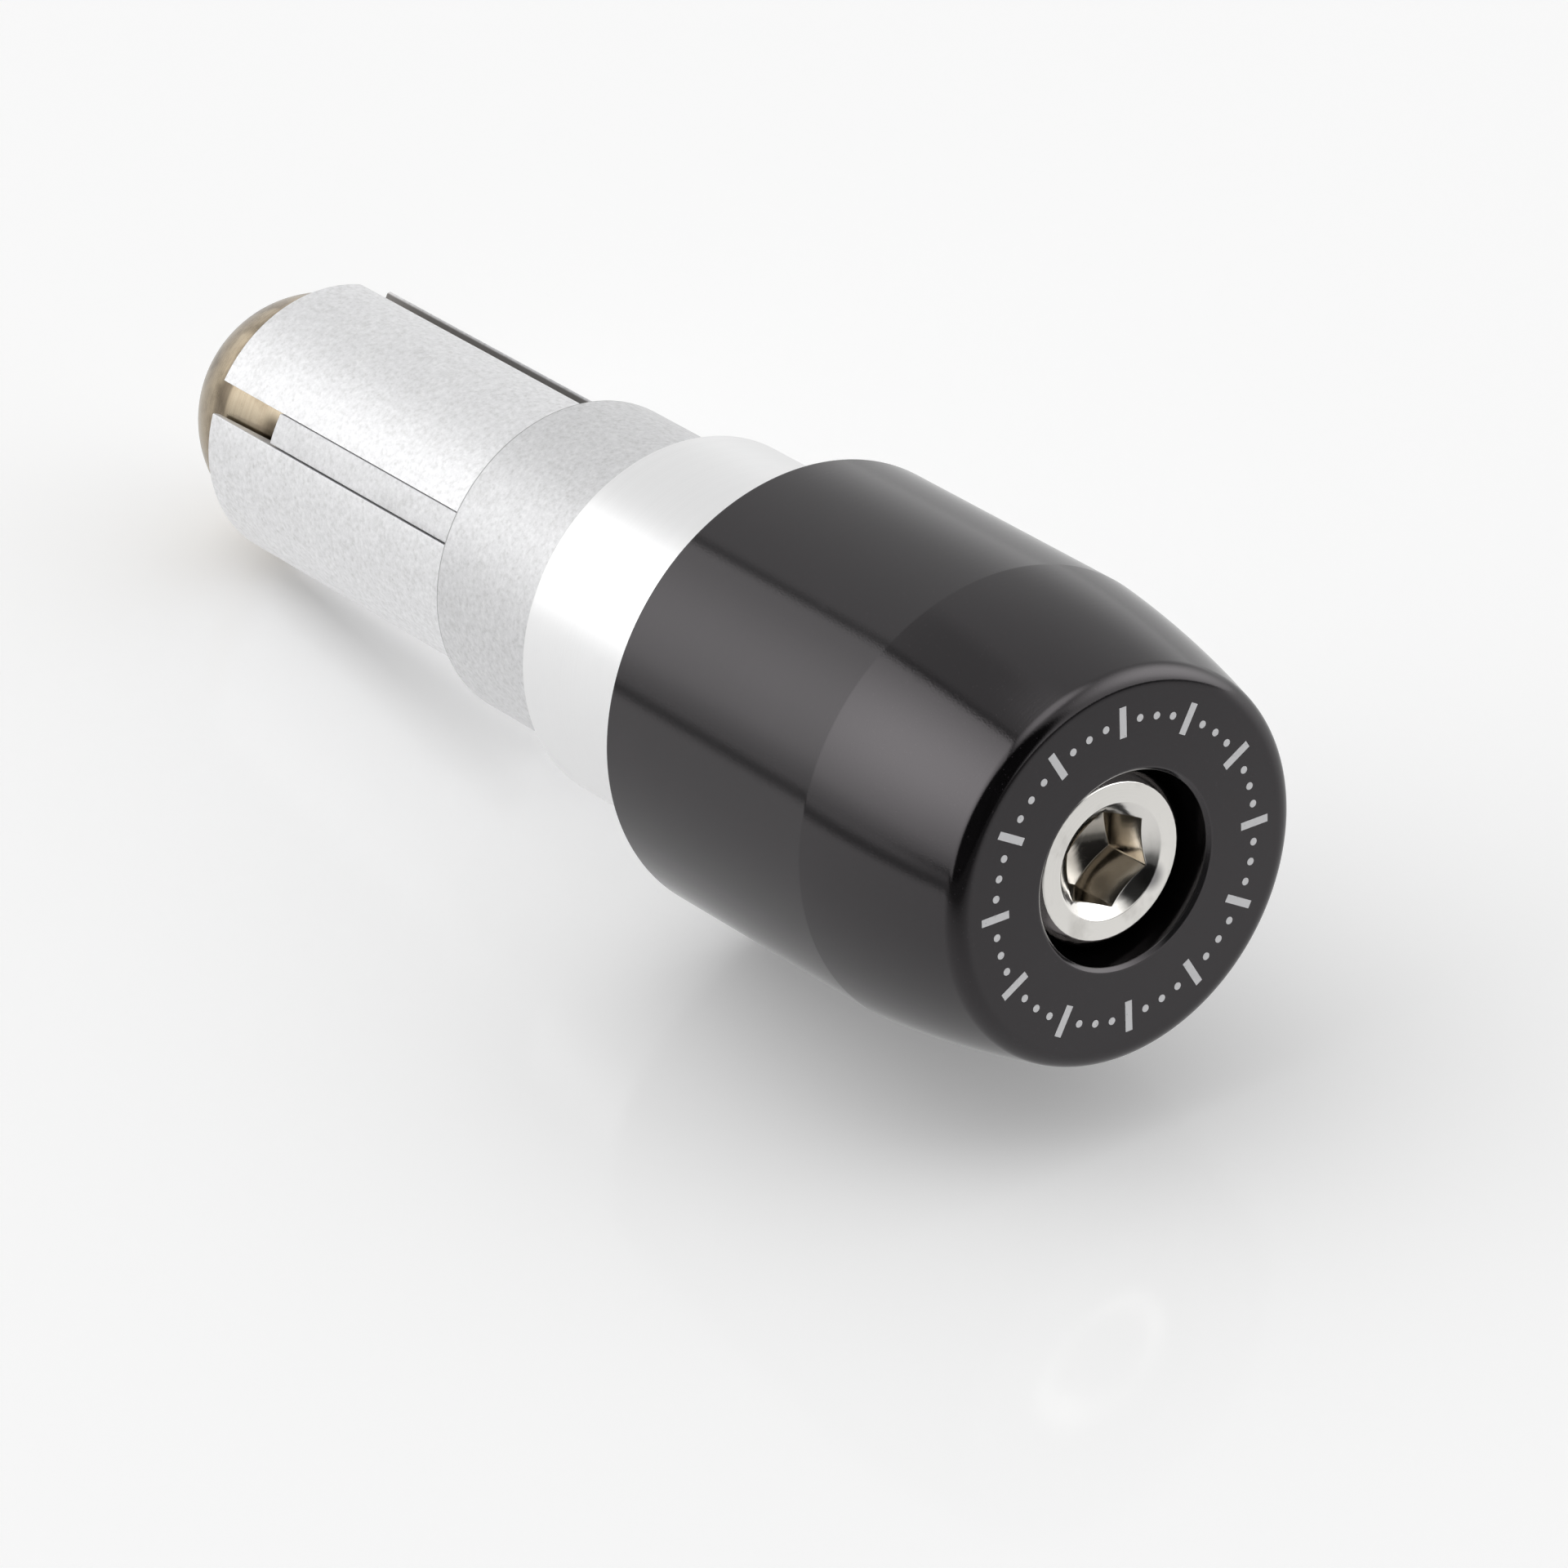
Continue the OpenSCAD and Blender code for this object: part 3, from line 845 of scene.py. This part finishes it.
def along(direction):
    """How far the look direction points along a given one, from -1 to 1."""
    return dot_product(tree, look, direction)


def angle_from(azimuth, elevation):
    """The angle from a place in the room, given by its degrees round the table and above it."""
    flat = flat_x * cos(radians(azimuth)) + flat_y * sin(radians(azimuth))
    place = flat * cos(radians(elevation)) + up * sin(radians(elevation))
    return calc(tree, "ARCCOSINE", along(place))


rise = along(up)
# The wall's straight edge lies in a plane, and this is the direction across that plane
across_edge = (flat_x * 0.208 + flat_y * 0.903 + up * 0.376).normalized()
past_edge = calc(tree, "ADD", along(across_edge), 0.075)
glow = ramp(tree, angle_from(-123, 34), radians(38), radians(2), 0.0, 1.8)
near_table = ramp(tree, rise, -0.02, 0.16, 0.7, 1.0)
wall = calc(tree, "MULTIPLY", calc(tree, "ADD", glow, 1.25), near_table)
ceiling = ramp(tree, rise, 0.0, 0.42, 1.0, 0.72)
dim = calc(tree, "MULTIPLY", ramp(tree, rise, 0.64, 0.77), ramp(tree, past_edge, 0.45, 0.3))
ceiling = calc(tree, "SUBTRACT", ceiling, calc(tree, "MULTIPLY", dim, 0.16))
seam = ramp(tree, calc(tree, "ABSOLUTE", calc(tree, "SUBTRACT", past_edge, 0.02)), 0.03, 0.015)
ceiling = calc(tree, "SUBTRACT", ceiling, calc(tree, "MULTIPLY", seam, 0.35))
on_wall = ramp(tree, past_edge, 0.01, -0.025)
level = add(tree, "ShaderNodeMix", {0: on_wall, 2: ceiling, 3: wall}).outputs[0]
front_lamp = ramp(tree, angle_from(64, 30), radians(46), radians(6), 0.0, 2.2)
overhead = ramp(tree, angle_from(180, 86), radians(28), radians(8), 0.0, 1.5)
mirrored = calc(tree, "ADD", level, calc(tree, "ADD", front_lamp, overhead))
plain = calc(tree, "ADD", calc(tree, "MULTIPLY", level, 0.35), 0.6)
ray = tree.nodes.new("ShaderNodeLightPath").outputs
level = add(tree, "ShaderNodeMix", {0: ray["Is Glossy Ray"], 2: plain, 3: mirrored}).outputs[0]
camera_side = ramp(tree, angle_from(-38, 15), radians(57), radians(45), 1.0, 0.02)
level = calc(tree, "MULTIPLY", level, camera_side)
room_light = add(tree, "ShaderNodeBackground", {"Color": (1, 1, 1, 1), "Strength": level})
plain_white = add(tree, "ShaderNodeBackground", {"Color": (0.93, 0.93, 0.93, 1), "Strength": 1.0})
seen = add(tree, "ShaderNodeMixShader", {0: ray["Is Camera Ray"], 1: room_light.outputs[0],
                                         2: plain_white.outputs[0]})
out = tree.nodes.new("ShaderNodeOutputWorld")
tree.links.new(seen.outputs[0], out.inputs["Surface"])
print("room of", len(tree.nodes), "nodes")

# %% [markdown]
# Two wide area lamps give the soft shadow under the object. They are kept out of reflections, where
# the room already has its own lights.

# %% Soft lamps
look_at = Vector((0.01, 0, 0))


def soft_lamp(name, spot, width, power):
    """A square area lamp that lights the object but is not mirrored in it."""
    light = bpy.data.lights.new(name, "AREA")
    light.shape = "SQUARE"
    light.size = width
    light.energy = power
    lamp = bpy.data.objects.new(name, light)
    bpy.context.scene.collection.objects.link(lamp)
    lamp.location = spot
    lamp.rotation_euler = (look_at - Vector(spot)).to_track_quat("-Z", "Y").to_euler()
    lamp.visible_glossy = False
    print(name, power, "watts")


soft_lamp("ceiling_lamp", (-0.15, -0.2, 0.75), 0.5, 0.5)
soft_lamp("side_lamp", (0.5, 0.45, 0.4), 0.4, 0.25)

# %% [markdown]
# The camera stands where it stood for the photograph: far off with a long lens, above the table and to
# one side of the axis. Its own up follows the table, because the object lies tilted on it.

# %% Camera
eye = Vector((444.48, -305.67, 256.05)) * MM
aim = Vector((19.18, 0.30, -6.92)) * MM
lens = bpy.data.cameras.new("camera")
lens.sensor_width = 36.0
lens.lens = 243.75
lens.clip_start = 0.01
lens.clip_end = 20.0
camera = bpy.data.objects.new("camera", lens)
bpy.context.scene.collection.objects.link(camera)
back = (eye - aim).normalized()
right = up.cross(back).normalized()
top = back.cross(right)
stand = Matrix((right, top, back)).transposed().to_4x4()
stand.translation = eye
camera.matrix_world = stand
bpy.context.scene.camera = camera
bpy.context.scene.view_settings.view_transform = "Standard"
pitch_angle = atan2(back.dot(up), hypot(back.dot(flat_x), back.dot(flat_y)))
print("camera is", round((eye - aim).length / MM, 1), "mm away, pitched",
      round(degrees(pitch_angle), 2), "degrees")
